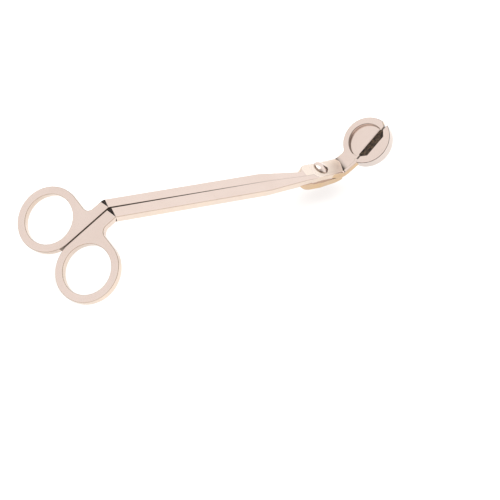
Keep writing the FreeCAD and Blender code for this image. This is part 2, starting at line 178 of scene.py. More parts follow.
# The plate colour and its copies with painted light and shade, in slot order.
PLATING_AND_PAINTED_LIGHT = (FACE, SHADED_WALL, SHADED_RIM, PAINTED_SHADE, PAINTED_BLACK, PAINTED_GOLD, SHADED_JAW, LIT_LOBE)
(FACE_SLOT, SHADED_WALL_SLOT, SHADED_RIM_SLOT, PAINTED_SHADE_SLOT,
 PAINTED_BLACK_SLOT, PAINTED_GOLD_SLOT, SHADED_JAW_SLOT, LIT_LOBE_SLOT) = range(len(PLATING_AND_PAINTED_LIGHT))


# ---------------------------------------------------------------- sizes
# The shapes are drawn in millimetres in the shank frame: X along the shank from the ring
# crease, Y towards the blade lever's ring, Z the normal of the shank's top face. Bent parts
# are drawn flat. In the head frame U runs along the head from its crease, and lines beside
# the cutting line are given by how far along and across it they lie.
# A corner's third number is the radius that rounds it.
MM = 0.001
PLATE = 3.2
LAP = 0.05                   # gap where one lever lies on the other
DEEP = PLATE + LAP           # from the shank's top face down to the tray lever's lower plate
RING_BEND = math.radians(57.4)
HEAD_BEND = math.radians(56.1)
HALF_TAN = math.tan(HEAD_BEND / 2)
SHANK_LENGTH = 138.5
NECK_BEND_R = 1.4            # inner radius of the blade lever's head bend
TRAY_BEND_R = 10.4           # and of the tray lever's
PIVOT_X, PIVOT_Y = 127.45, 2.3
RING_X, RING_Y, RING_R, RING_HOLE_R = -22.2, 14.15, 13.85, 10.5
BLADE_RING_END, TRAY_RING_START = 269, 91     # degrees, just clear of the seam's corner
WEB_X, WEB_Y, WEB_ROUND = -8.35, 13.0, 3.0
CREASE_X = -1.0              # last corner of a shank's outer edge, just past the crease
BLADE_EDGE, TRAY_EDGE = 4.6, -5.3
TAPER_X, WAIST_X = 90.0, 112.5
BLADE_WAIST_Y, TRAY_WAIST_Y = 2.05, -3.55
FACET = 1.2                  # size of the ground flat on the ring crease

# The seam between the shanks, and the round step about the pivot where the lap starts.
SEAM_HALF = 0.30             # half the gap at the rings
SEAM_CLOSED_X, SEAM_CLOSED_HALF = 92.0, 0.025
BLADE_SEAM_Y, TRAY_SEAM_Y = -0.725, -0.775
LAP_R = 7.5
BLADE_LAP_ENDS = (-6.863, -3.025), (-5.300, -5.307)   # from the pivot: at the seam, at the edge
TRAY_LAP_ENDS = (-6.895, -3.075), (-5.350, -5.324)
SEAM_END_X, SEAM_REACH = 121.0, 1.2
STEP_START_X, STEP_TOP_Y, STEP_REACH = 115.0, -0.5, 0.2
UNDERCUT_X = 112.0           # past here the lower edges lie on the other lever
PAINTED_GOLD_X = 113.0               # past here the outer walls carry the painted golden reflection and shade
BLOCK_X = 116.0              # where the pivot block's paler tint, a painted highlight, and its softer polish start

# Edges and joins.
BREAK = 0.24                 # how far edges are broken
SLIM_BREAK = 0.16            # on the neck and the jaw
SHARP = 0.02                 # where the levers meet
RING_SEAM_BREAK = 0.09       # more than that at the rings' end of the seam
# Up to DARK_SEAM_X the seam's walls carry painted shade.
DARK_SEAM_X, SEAM_FADE = 96.0, 20.0
POCKET_LINE = 0.14           # painted shade: the dark corner round the foot of a pocket's wall
FACE_ZONE = 0.6              # points this near a face belong to it and its broken edge
MERGE = 0.002                # points nearer than this are one
LAST_MERGE = 1e-4            # the same in a finished shape
ON_CREASE = 1e-4             # points this near X = 0 lie on the ring crease
ON_PLANE = 1e-5              # and this near a slicing plane they lie on it
SUNK = 0.02                  # so that joined pieces share no face
ARC_STEP = math.radians(4.0)
CLOSED = 356                 # a closed circle's last point, in degrees; the first follows it
NECK_STEPS, TRAY_STEPS = 10, 16          # slices in each head bend
SMOOTH_BELOW = math.radians(24)          # steeper edges stay sharp

# Cutting line, jaw and bevel, in the head frame.
SLIT_U, CUT_Y, SLIT_TURN = 16.8, 2.2, math.radians(9.7)
JAW_CENTRE, JAW_R, JAW_DEPTH, JAW_ACROSS = (16.25, 3.85), 11.4, 5.6, -2.4
BEVEL_BACK, BEVEL_HALF, EDGE_LAND = 4.7, 5.4, 0.2
TONGUE_ROOT, TONGUE_ROOT_ACROSS = 6.3, -3.6
TONGUE_ACROSS, TONGUE_DRAW, TONGUE_TOP, TONGUE_BREAK = -2.42, 0.6, 0.3, 0.03
BEVEL_SPILL = 1.0            # how far the bevel's cutter reaches past what it cuts
BEVEL_INSET = 0.05

# Catch tray, in the head frame.
TRAY_CENTRE, TRAY_R, TRAY_TURNS = (16.2, 3.25), 11.1, (13.5, 154.45)
FILLET_CENTRE, FILLET_R, FILLET_TURNS = (4.38, 8.9), 2.0, (-25.55, -90)
TRAY_TIP = (9.18, -0.25)     # along and across the cutting line
NECK_BESIDE_U, NECK_BESIDE_Y = 3.83, -0.27
RECESS_CENTRE, RECESS_R, RECESS_ACROSS, RECESS_DEPTH = (15.95, 3.7), 7.9, 0.55, 1.7
BESIDE_NECK_Y = -0.55        # the inside corner of the bend is sharp from here down
BESIDE_NECK_BAND = 0.05      # width of the strip where it turns from round to sharp
SHEAR_FACE = (144.5, 167.2, 3.6)     # X from, X to, Y below: the face that the edge passes, painted black as shade
SHEAR_EDGE = (144.5, 167.0, 3.4)     # and its sharp lower edge
TRAY_SHARP_X = 140.0

# The tray lever's crank down from the shank to its lower plate.
CRANK_X, CRANK_LENGTH, CRANK_END_X = 111.5, 8.8, 120.4
CRANK_CUTS = [WAIST_X + k for k in range(8)] + [119.2, 119.8, 120.3]
OVERLAP_X, OVERLAP_RISE = 119.3, 0.55    # its upper side reaches up into the shank up to here

# Screw and nut.
SCREW_HOLE_R, SCREW_HOLE_CLOSED = 2.05, 350
HEAD_R, HEAD_DOME, HEAD_EDGE, HEAD_FOOT = 3.3, 0.7, 0.35, 0.05
DOME_SHORT, BRIM_ROUND, BRIM_DROP, FOOT_BREAK = 0.12, 0.02, 0.1, 0.06
SHOULDER_R, THREAD_R, THREAD_ROOT_R, THREAD_END_R, PITCH = 2.0, 1.6, 1.42, 1.45, 0.5
NUT_R, NUT_THICK, NUT_BREAK, NUT_TOP_BREAK = 3.0, 1.3, 0.15, 0.12
NUT_SLOT_LENGTH, NUT_SLOT_WIDTH, NUT_SLOT_HEIGHT = 8.0, 0.8, 1.0

BLADE_LOBE = [
    (136.15, -2.1), (138.3, -2.0), (138.5, -1.3), (139.1, -0.7),       # beside the neck
    (141.4, 4.2, 2.0), (139.6, 5.95, 0.8),                             # nose
    (PIVOT_X, 5.4), (117.5, 5.2, 3.0), (114.1, BLADE_WAIST_Y, 1.5),    # top and shoulder
]
TRAY_FRONT = [
    (CRANK_X, -3.65), (126.45, -3.4), (133.75, -2.5, 4.0),             # belly and hip
    (139.6, -1.87), (139.9, -0.92),                                    # step into the bend
]
TRAY_BACK = [
    (140.0, 6.9, 3.0), (123.95, 5.2, 3.0),                             # back of the lobe
    (120.95, TRAY_SEAM_Y, 0.8), (CRANK_X, TRAY_SEAM_Y),                # foot on the crank
]


# ---------------------------------------------------------------- where the levers go
JOINT = frame["joints"][0]
NORMAL = -Vector(JOINT["axis"])
SHANK_TURN = Matrix.Rotation(math.atan2(NORMAL.x, NORMAL.z), 3, "Y")
PIVOT_PLACE = Vector((PIVOT_X, PIVOT_Y, 0.0)) * MM
SHANK_ORIGIN = Vector(JOINT["pos_m"]) - SHANK_TURN @ PIVOT_PLACE


# ---------------------------------------------------------------- drawing tools
def arc(centre, radius, start, end):
    """Points along an arc; the angles are degrees."""
    x, y = centre
    count = max(2, round(abs(math.radians(end - start)) / ARC_STEP))
    turns = [math.radians(start + (end - start) * k / count) for k in range(count + 1)]
    return [(x + radius * math.cos(t), y + radius * math.sin(t)) for t in turns]


def turn_of(place):
    """Angle of a place seen from the origin, in degrees from 0 to 360."""
    return math.degrees(math.atan2(place[1], place[0])) % 360


def rounded(corners):
    """Points of a closed outline; a corner's third number rounds it."""
    points = []
    for index, corner in enumerate(corners):
        if len(corner) < 3:
            points.append(corner)
            continue
        here = Vector(corner[:2])
        before = (Vector(corners[index - 1][:2]) - here).normalized()
        after = (Vector(corners[(index + 1) % len(corners)][:2]) - here).normalized()
        half = before.angle(after) / 2
        reach = corner[2] / math.tan(half)
        centre = here + (before + after).normalized() * (corner[2] / math.sin(half))
        first = here + before * reach - centre
        turn = math.pi - 2 * half
        if before.x * after.y - before.y * after.x > 0:
            turn = -turn
        count = max(2, round(abs(turn) / ARC_STEP))
        for k in range(count + 1):
            angle = turn * k / count
            points.append((
                centre.x + first.x * math.cos(angle) - first.y * math.sin(angle),
                centre.y + first.x * math.sin(angle) + first.y * math.cos(angle),
            ))
    return points


def split_long(points, longest):
    """The same closed outline with no edge longer than this."""
    result = []
    for index, start in enumerate(points):
        end = points[(index + 1) % len(points)]
        pieces = max(1, math.ceil(math.dist(start, end) / longest))
        for k in range(pieces):
            share = k / pieces
            result.append((start[0] + (end[0] - start[0]) * share,
                           start[1] + (end[1] - start[1]) * share))
    return result


def inset(points, distances):
    """A closed outline moved to its left by a distance for each point."""
    longest, sharpest = 1.6, 0.3         # limits on how far a sharp corner moves
    result = []
    count = len(points)
    for index, point in enumerate(points):
        before = Vector(points[index - 1])
        here = Vector(point)
        after = Vector(points[(index + 1) % count])
        into = (here - before).normalized()
        out = (after - here).normalized()
        left = Vector((-into.y - out.y, into.x + out.x)).normalized()
        scale = min(longest, 1.0 / max(sharpest, left.dot(Vector((-into.y, into.x)))))
        result.append(tuple(here + left * distances[index] * scale))
    return result


def plate(outer, broken, wall, holes=(), pockets=(), top=0.0, bottom=-PLATE,
          under=None, seam_rim=SHADED_RIM_SLOT):
    """Closed plate with broken edges. A pocket is (outline, depth), sunk from the top.

    Outlines turn anticlockwise. broken(x, y) gives how far the edge is broken there, under
    the same for the lower edge, and wall(x, y) the material slot of the side wall there,
    most of them darker copies of the plate colour, painted shade. seam_rim is the slot of
    the edges along a mating wall or the jaw's, painted shade too."""
    under = under or broken
    bm = bmesh.new()
    slant = 1 - math.sqrt(0.5)

    def loop(points, heights):
        return [bm.verts.new((p[0], p[1], h)) for p, h in zip(points, heights)]

    def strip(upper, lower, slots):
        count = len(upper)
        for k in range(count):
            n = (k + 1) % count
            face = bm.faces.new((upper[k], lower[k], lower[n], upper[n]))
            face.material_index = slots[k]

    def sides(points, low):
        """Rounded upper edge, wall and rounded lower edge; returns the two cap loops."""
        size = [broken(*p) for p in points]
        below = [under(*p) for p in points]
        walls = [wall(*p) for p in points]
        # Edge strips take the darker rim copy, painted shade; beside seam or jaw walls they take
        # seam_rim.
        rims = [seam_rim if slot in (PAINTED_SHADE_SLOT, SHADED_JAW_SLOT) else SHADED_RIM_SLOT for slot in walls]
        rings = []
        for share, drop in ((1.0, 0.0), (slant, slant), (0.0, 1.0)):
            edge = inset(points, [s * share for s in size])
            rings.append(loop(edge, [top - s * drop for s in size]))
        if low == bottom:
            for share, drop in ((0.0, 1.0), (slant, slant), (1.0, 0.0)):
                edge = inset(points, [s * share for s in below])
                rings.append(loop(edge, [low + s * drop for s in below]))
        else:
            rings.append(loop(points, [low + POCKET_LINE] * len(points)))
            rings.append(loop(inset(points, [-POCKET_LINE] * len(points)), [low] * len(points)))
            # A pocket's wall is plain plate; its rim and foot carry painted shade.
            walls = [FACE_SLOT] * len(points)
            rims = [PAINTED_SHADE_SLOT] * len(points)
        strip_slots = [rims, rims, walls, rims, rims]
        for upper, lower, slots in zip(rings, rings[1:], strip_slots):
            strip(upper, lower, slots)
        return rings[0], rings[-1]

    def cap(loops, upwards):
        """Flat face between one loop and those inside it."""
        flat = [v for ring in loops for v in ring]
        outline = [[Vector((v.co.x, v.co.y, 0)) for v in ring] for ring in loops]
        for triangle in tessellate_polygon(outline):
            corners = [flat[k] for k in triangle]
            face = bm.faces.new(corners)
            face.normal_update()
            if (face.normal.z > 0) != upwards:
                face.normal_flip()
            face.material_index = FACE_SLOT

    upper, lower = sides(outer, bottom)
    tops, bottoms = [upper], [lower]
    for hole in holes:
        upper, lower = sides(hole[::-1], bottom)
        tops.append(upper)
        bottoms.append(lower)
    for outline, depth in pockets:
        upper, lower = sides(outline[::-1], top - depth)
        tops.append(upper)
        cap([lower], True)
    cap(tops, True)
    cap(bottoms, False)
    return bm


def slice_at(bm, point, normal, **options):
    """New edges where a plane crosses the mesh."""
    everything = bm.verts[:] + bm.edges[:] + bm.faces[:]
    bmesh.ops.bisect_plane(bm, geom=everything, dist=ON_PLANE, plane_co=point,
                           plane_no=normal, **options)


def cut_across(bm, stations):
    """New edges across the plate where it will bend."""
    for x in stations:
        slice_at(bm, (x, 0, 0), (1, 0, 0))


def fold_rings(bm):
    """Turns everything before X = 0 down to the finger ring's plane."""
    for vert in bm.verts:
        x, y, z = vert.co
        if abs(x) < ON_CREASE:
            vert.co = Vector((-z * math.tan(RING_BEND / 2), y, z))
        elif x < 0:
            vert.co = Vector((x * math.cos(RING_BEND) - z * math.sin(RING_BEND), y,
                              x * math.sin(RING_BEND) + z * math.cos(RING_BEND)))


def bend_start(depth, radius):
    """X where the rolled part starts, for a face this deep with this inner radius."""
    return SHANK_LENGTH + (depth - radius) * HALF_TAN


def bend_up(bm, depth, radius, sharp_below=-math.inf):
    """Rolls the head end up; the inner radius belongs to the face this deep.

    Below the given y the upper face keeps a sharp inside corner."""
    start = bend_start(depth, radius)
    length = radius * HEAD_BEND
    reach_half = radius * HALF_TAN
    cos, sin = math.cos(HEAD_BEND), math.sin(HEAD_BEND)
    for vert in bm.verts:
        x, y, z = vert.co
        if x <= start:
            continue
        if y < sharp_below and z > -depth - FACE_ZONE and x < start + length:
            along = (x - start) / length * 2
            if along <= 1:
                vert.co = Vector((start + along * reach_half, y, z))
            else:
                rest = (along - 1) * reach_half
                lift = z + depth
                vert.co = Vector((start + reach_half + rest * cos - lift * sin, y,
                                  rest * sin - depth + lift * cos))
            continue
        turn = min(x - start, length) / radius
        rest = max(0.0, x - start - length)
        reach = radius - depth - z
        vert.co = Vector((start + reach * math.sin(turn) + rest * math.cos(turn), y,
                          radius - depth - reach * math.cos(turn) + rest * math.sin(turn)))


def bend_stations(depth, radius, steps):
    """Where a plate is cut across so that it rolls up smoothly."""
    start = bend_start(depth, radius)
    return [start + radius * HEAD_BEND * k / steps for k in range(steps + 1)]


def flat_x(u, depth, radius):
    """Where a head position u lies on the flat drawing of a face with this bend."""
    return u + SHANK_LENGTH + 2 * (depth - radius) * HALF_TAN + radius * HEAD_BEND


def facet(bm, narrow_y, wide_y):
    """Grinds the small triangular flat on the ring crease."""
    apex = Vector((0, narrow_y, 0))
    on_ring = Vector((-FACET * math.cos(RING_BEND), wide_y, -FACET * math.sin(RING_BEND)))
    on_shank = Vector((FACET, wide_y, 0))
    normal = (on_ring - apex).cross(on_shank - apex).normalized()
    if normal.z < 0:
        normal = -normal
    slice_at(bm, apex, normal, clear_outer=True)
    open_edges = [edge for edge in bm.edges if edge.is_boundary]
    made = bmesh.ops.contextual_create(bm, geom=open_edges)
    for face in made["faces"]:
        face.material_index = FACE_SLOT


def in_seam(x, y):
    """Whether a place is on an edge that meets the other lever."""
    off_step = abs(math.hypot(x - PIVOT_X, y - PIVOT_Y) - LAP_R)
    on_step = x > STEP_START_X and y < STEP_TOP_Y and off_step < STEP_REACH
    return on_step or (abs(y) < SEAM_REACH and x < SEAM_END_X)


def seam_break(x, y):
    """Edges are broken less where the levers meet, and hardly at all where the gap is closed."""
    if in_seam(x, y):
        return SHARP + RING_SEAM_BREAK * max(0.0, min(1.0, (DARK_SEAM_X - x) / SEAM_FADE))
    return BREAK


def lap_break(x, y):
    """Lower edges, which stay sharp where one lever lies on the other."""
    return SHARP if x > UNDERCUT_X else seam_break(x, y)


def lever_wall(x, y):
    """Material slot of a lever's side wall: painted shade in the seam near the rings, a painted
    golden reflection towards the head, the darker wall copy elsewhere.
    """
    if in_seam(x, y):
        return PAINTED_SHADE_SLOT if x < DARK_SEAM_X else SHADED_WALL_SLOT
    return PAINTED_GOLD_SLOT if x > PAINTED_GOLD_X else SHADED_WALL_SLOT


def finished(bm, name):
    """Mesh object from the working mesh, still in the shank frame and in millimetres."""
    bmesh.ops.recalc_face_normals(bm, faces=bm.faces[:])
    mesh = bpy.data.meshes.new(name)
    bm.to_mesh(mesh)
    bm.free()
    for mat in PLATING_AND_PAINTED_LIGHT:
        mesh.materials.append(mat)
    obj = bpy.data.objects.new(name, mesh)
    bpy.context.scene.collection.objects.link(obj)
    return obj


def combine(base, tool, operation):
    """Boolean of two objects; the tool is used up."""
    modifier = base.modifiers.new("combine", "BOOLEAN")
    modifier.operation = operation
    modifier.solver = "EXACT"
    modifier.object = tool
    bpy.context.view_layer.update()
    result = base.evaluated_get(bpy.context.evaluated_depsgraph_get())
    mesh = bpy.data.meshes.new_from_object(result)
    bm = bmesh.new()
    bm.from_mesh(mesh)
    bmesh.ops.remove_doubles(bm, verts=bm.verts, dist=MERGE)
    bmesh.ops.dissolve_degenerate(bm, edges=bm.edges, dist=MERGE)
    bmesh.ops.recalc_face_normals(bm, faces=bm.faces[:])
    bm.to_mesh(mesh)
    bm.free()
    base.modifiers.clear()
    base.data = mesh
    bpy.data.objects.remove(tool)
    return base


def slit_point(along, across):
    """Head position (u, y) from a place along and across the cutting line."""
    return (SLIT_U + along * math.cos(SLIT_TURN) - across * math.sin(SLIT_TURN),
            CUT_Y + along * math.sin(SLIT_TURN) + across * math.cos(SLIT_TURN))


def in_head(bm):
    """Moves a mesh drawn in the head frame to the shank frame."""
    for vert in bm.verts:
        u, y, z = vert.co
        vert.co = Vector((
            SHANK_LENGTH + u * math.cos(HEAD_BEND) - z * math.sin(HEAD_BEND), y,
            u * math.sin(HEAD_BEND) + z * math.cos(HEAD_BEND)))
    return bm


def half_round(centre, radius, across, flip=False):
    """Arc of a circle in the head, cut off by a line beside the cutting line.

    It is the part left of the line, or right of it where flip is true."""
    foot = Vector(slit_point(0, across))
    along = Vector((math.cos(SLIT_TURN), math.sin(SLIT_TURN)))
    middle = (Vector(centre) - foot).dot(along)
    off = Vector(centre) - foot - along * middle
    half = math.sqrt(radius ** 2 - off.length ** 2)
    ends = [foot + along * (middle - half), foot + along * (middle + half)]
    if not flip:
        ends.reverse()
    start, end = (turn_of(point - Vector(centre)) for point in ends)
    return arc(centre, radius, start, end + 360 if end < start else end)


# ---------------------------------------------------------------- blade lever
def blade_flat():
    """Finger ring, shank and pivot lobe of the blade lever."""
    outline = [(RING_X, SEAM_HALF), (0, SEAM_HALF), (SEAM_CLOSED_X, SEAM_CLOSED_HALF),
               (WAIST_X, BLADE_SEAM_Y)]
    seam_end, edge_end = BLADE_LAP_ENDS
    outline += arc((PIVOT_X, PIVOT_Y), LAP_R, turn_of(seam_end), turn_of(edge_end))
    outline += rounded(BLADE_LOBE + [
        (WAIST_X, BLADE_WAIST_Y), (TAPER_X, BLADE_EDGE), (CREASE_X, BLADE_EDGE),
        (WEB_X, BLADE_EDGE, WEB_ROUND), (WEB_X, WEB_Y),
    ])
    outline += arc((RING_X, RING_Y), RING_R, 0, BLADE_RING_END)
    ring_hole = arc((RING_X, RING_Y), RING_HOLE_R, 0, CLOSED)
    screw_hole = arc((PIVOT_X, PIVOT_Y), SCREW_HOLE_R, 0, SCREW_HOLE_CLOSED)
    bm = plate(outline, seam_break, lever_wall, holes=(ring_hole, screw_hole), under=lap_break)
    cut_across(bm, [0.0, BLOCK_X])
    # Top faces on the pivot block take the paler copy: painted light.
    for face in bm.faces:
        if face.material_index == FACE_SLOT and face.calc_center_median().x > BLOCK_X:
            face.material_index = LIT_LOBE_SLOT
    fold_rings(bm)
    facet(bm, SEAM_HALF, BLADE_EDGE)
    return finished(bm, "blade_lever_shape")


def nose_cutter():
    """Round body about the pivot that rounds the underside of the lobe's nose."""
    start = bend_start(DEEP, TRAY_BEND_R) - PIVOT_X
    height = TRAY_BEND_R - DEEP
    nose = TRAY_BEND_R - 0.15            # clear of the tray lever's bend
    beyond, above, below = 24.0, 0.5, -PLATE - 0.4
    last = math.asin(math.sqrt(nose ** 2 - height ** 2) / nose)
    steps, slices, slice_turn, first_turn = 12, 25, 5, -60
    profile = [(start, below)]
    for k in range(steps + 1):
        turn = last * k / steps
        profile.append((start + nose * math.sin(turn), height - nose * math.cos(turn)))
    profile += [(profile[-1][0] + 0.2, above), (beyond, above), (beyond, below)]
    bm = bmesh.new()
    rows = []
    for k in range(slices):
        turn = math.radians(first_turn + slice_turn * k)
        rows.append([bm.verts.new((PIVOT_X + r * math.cos(turn), PIVOT_Y + r * math.sin(turn), z))
                     for r, z in profile])
    for low, high in zip(rows, rows[1:]):
        for k in range(len(profile)):
            n = (k + 1) % len(profile)
            # The faces it cuts take the darker wall copy: painted shade.
            bm.faces.new((low[k], low[n], high[n], high[k])).material_index = SHADED_WALL_SLOT
    bm.faces.new(rows[0])
    bm.faces.new(rows[-1][::-1])
    return finished(bm, "nose_cutter")


def blade_neck():
    """Narrow neck of the blade lever, rolled up into the head."""
    head_x = flat_x(0.0, 0.0, NECK_BEND_R)
    root_x, bend_x, end_x = 132.0, 137.2, head_x + 8.25
    outer_y, inner_y = -2.6, -1.3
    outline = split_long([
        (root_x, -2.35), (bend_x, -2.5), (head_x, outer_y), (end_x, outer_y),
        (end_x, -1.6), (head_x + 7.25, -0.5), (head_x + 6.2, inner_y),       # horn
        (bend_x, inner_y), (root_x, inner_y),
    ], longest=1.0)
    # The neck's walls take the golden copy: painted shade and a painted golden reflection.
    bm = plate(outline, lambda x, y: SLIM_BREAK, lambda x, y: PAINTED_GOLD_SLOT)
    cut_across(bm, bend_stations(0.0, NECK_BEND_R, NECK_STEPS))
    # Thinner towards its root, so that it lies wholly inside the lobe there.
    middle = -PLATE / 2
    thin_x, thinning = 137.0, 0.05
    for vert in bm.verts:
        share = 1 - 2 * SUNK / PLATE - max(0.0, thin_x - vert.co.x) * thinning
        vert.co.z = middle + (vert.co.z - middle) * share
    bend_up(bm, 0.0, NECK_BEND_R)
    return finished(bm, "neck")


def blade_jaw():
    """Half-round body with a tongue that carries the bevelled cutting edge."""
    # The jaw's wall takes the darker copy and its edges the near black: painted shade.
    body = plate(half_round(JAW_CENTRE, JAW_R, JAW_ACROSS, flip=True),
                 lambda x, y: SLIM_BREAK, lambda x, y: SHADED_JAW_SLOT,
                 bottom=-JAW_DEPTH, seam_rim=PAINTED_BLACK_SLOT)
    jaw = finished(in_head(body), "jaw")
    end = BEVEL_HALF + BEVEL_BACK + TONGUE_ACROSS
    corners = [(-TONGUE_ROOT, TONGUE_ROOT_ACROSS), (TONGUE_ROOT, TONGUE_ROOT_ACROSS),
               (end, TONGUE_ACROSS), (end - TONGUE_DRAW, 0), (TONGUE_DRAW - end, 0),
               (-end, TONGUE_ACROSS)]
    # The tongue's walls are near black: painted shade.
    tongue = plate([slit_point(*corner) for corner in corners],
                   lambda x, y: TONGUE_BREAK, lambda x, y: PAINTED_BLACK_SLOT, top=TONGUE_TOP)
    jaw = combine(jaw, finished(in_head(tongue), "tongue"), "UNION")
    return combine(jaw, bevel_cutter(), "DIFFERENCE")


def bevel_cutter():
    """Wedge that grinds the bevel between its two slanted ends."""
    flare = BEVEL_HALF + BEVEL_BACK + BEVEL_SPILL
    slope = (PLATE - EDGE_LAND) / BEVEL_BACK
    back = BEVEL_BACK + BEVEL_INSET
    half = BEVEL_HALF - BEVEL_INSET
    plan = [(-half, -back), (half, -back), (flare, BEVEL_SPILL), (-flare, BEVEL_SPILL)]
    bm = bmesh.new()
    low = []
    high = []
    for along, across in plan:
        u, y = slit_point(along, across)
        low.append(bm.verts.new((u, y, -(across + BEVEL_BACK) * slope)))
        high.append(bm.verts.new((u, y, BEVEL_SPILL)))
    # Its faces give the bevel the near black: painted shade and painted dark reflection.
    bm.faces.new(low).material_index = PAINTED_BLACK_SLOT
    bm.faces.new(high).material_index = PAINTED_BLACK_SLOT
    for k in range(len(plan)):
        n = (k + 1) % len(plan)
        bm.faces.new((low[k], low[n], high[n], high[k])).material_index = PAINTED_BLACK_SLOT
    return finished(in_head(bm), "bevel_cutter")


# ---------------------------------------------------------------- tray lever
def tray_flat():
    """Finger ring and shank of the tray lever, to where the blade lever's lobe turns."""
    outline = rounded([(WEB_X, -WEB_Y), (WEB_X, TRAY_EDGE, WEB_ROUND), (CREASE_X, TRAY_EDGE),
                       (TAPER_X, TRAY_EDGE), (WAIST_X, TRAY_WAIST_Y)])
    seam_end, edge_end = TRAY_LAP_ENDS
    outline += arc((PIVOT_X, PIVOT_Y), LAP_R + LAP, turn_of(edge_end), turn_of(seam_end))
    outline += [(WAIST_X, TRAY_SEAM_Y), (SEAM_CLOSED_X, -SEAM_CLOSED_HALF), (0, -SEAM_HALF),
                (RING_X, -SEAM_HALF)]
    outline += arc((RING_X, -RING_Y), RING_R, TRAY_RING_START, 360)
    ring_hole = arc((RING_X, -RING_Y), RING_HOLE_R, 0, CLOSED)
    # Its seam edges carry the dark painted shade.
    bm = plate(outline, seam_break, lever_wall, holes=(ring_hole,), under=lap_break,
               seam_rim=PAINTED_SHADE_SLOT)
    cut_across(bm, [0.0])
    fold_rings(bm)
    facet(bm, TRAY_EDGE, -SEAM_HALF)
    return finished(bm, "tray_lever_shape")


def round_cutter(radius, low, high):
    """Round tool about the pivot."""
    bm = bmesh.new()
    place = Matrix.Translation((PIVOT_X, PIVOT_Y, (low + high) / 2))
    bmesh.ops.create_cone(bm, cap_ends=True, segments=72, radius1=radius, radius2=radius,
                          depth=high - low, matrix=place)
    for face in bm.faces:
        # The faces it cuts take the darker wall copy: painted shade.
        face.material_index = SHADED_WALL_SLOT
    return finished(bm, "round_cutter")


def within(zone, x, y):
    """Whether a place is in a zone given as (X from, X to, Y below)."""
    return zone[0] < x < zone[1] and y < zone[2]


def tray_wall(x, y):
    """Material slot of the lower plate's side wall: near black, painted shade, where the blade
    passes; golden, a painted reflection, elsewhere.
    """
    return PAINTED_BLACK_SLOT if within(SHEAR_FACE, x, y) else PAINTED_GOLD_SLOT


def tray_break(x, y):
    """Its edges are sharp where the blade passes and where the levers lie together."""
    return SHARP if within(SHEAR_EDGE, x, y) or (x < TRAY_SHARP_X and y < 0) else BREAK


def tray_low():
    """Lower plate of the tray lever: under the pivot, round the bend and out to the tray."""
    head_x = flat_x(0.0, DEEP, TRAY_BEND_R)
    head = [(NECK_BESIDE_U, NECK_BESIDE_Y), slit_point(*TRAY_TIP)]
    head += arc(TRAY_CENTRE, TRAY_R, *TRAY_TURNS)
    head += arc(FILLET_CENTRE, FILLET_R, *FILLET_TURNS)
    corners = TRAY_FRONT + [(head_x + u, y) for u, y in head] + TRAY_BACK
    outline = split_long(rounded(corners), longest=1.5)
    recess = [(head_x + u, y) for u, y in half_round(RECESS_CENTRE, RECESS_R, RECESS_ACROSS)]
    bm = plate(outline, tray_break, tray_wall, pockets=((recess, RECESS_DEPTH),),
               top=-DEEP, bottom=-2 * PLATE)
    cut_across(bm, bend_stations(DEEP, TRAY_BEND_R, TRAY_STEPS) + CRANK_CUTS)
    for y in (BESIDE_NECK_Y - BESIDE_NECK_BAND, BESIDE_NECK_Y):
        slice_at(bm, (0, y, 0), (0, 1, 0))
    for vert in bm.verts:
        x, _, z = vert.co
        if x < OVERLAP_X and z > -DEEP - FACE_ZONE:
            vert.co.z = z + OVERLAP_RISE
        elif x < CRANK_END_X and z < -DEEP - FACE_ZONE:
            share = max(0.0, 1 - (x - CRANK_X) / CRANK_LENGTH)
            vert.co.z = z + PLATE * share ** 2
    in_band = BESIDE_NECK_Y - 0.8 * BESIDE_NECK_BAND
    bend_up(bm, DEEP, TRAY_BEND_R, sharp_below=in_band)
    return finished(bm, "tray_low")


# ---------------------------------------------------------------- screw and nut
def turned(profile, name):
    """Round piece about the pivot from (radius, height, material slot of the next stretch)
    points.
    """
    bm = bmesh.new()
    count = 96
    turns = [math.tau * k / count for k in range(count)]
    rows = []
    for radius, height, _ in profile:
        if radius == 0:
            rows.append([bm.verts.new((PIVOT_X, PIVOT_Y, height))] * count)
            continue
        rows.append([bm.verts.new((PIVOT_X + radius * math.cos(t),
                                   PIVOT_Y + radius * math.sin(t), height)) for t in turns])
    for (upper, lower), (_, _, slot) in zip(zip(rows, rows[1:]), profile):
        for k in range(count):
            n = (k + 1) % count
            corners = list(dict.fromkeys((upper[k], lower[k], lower[n], upper[n])))
            if len(corners) > 2:
                bm.faces.new(corners).material_index = slot
    return finished(bm, name)


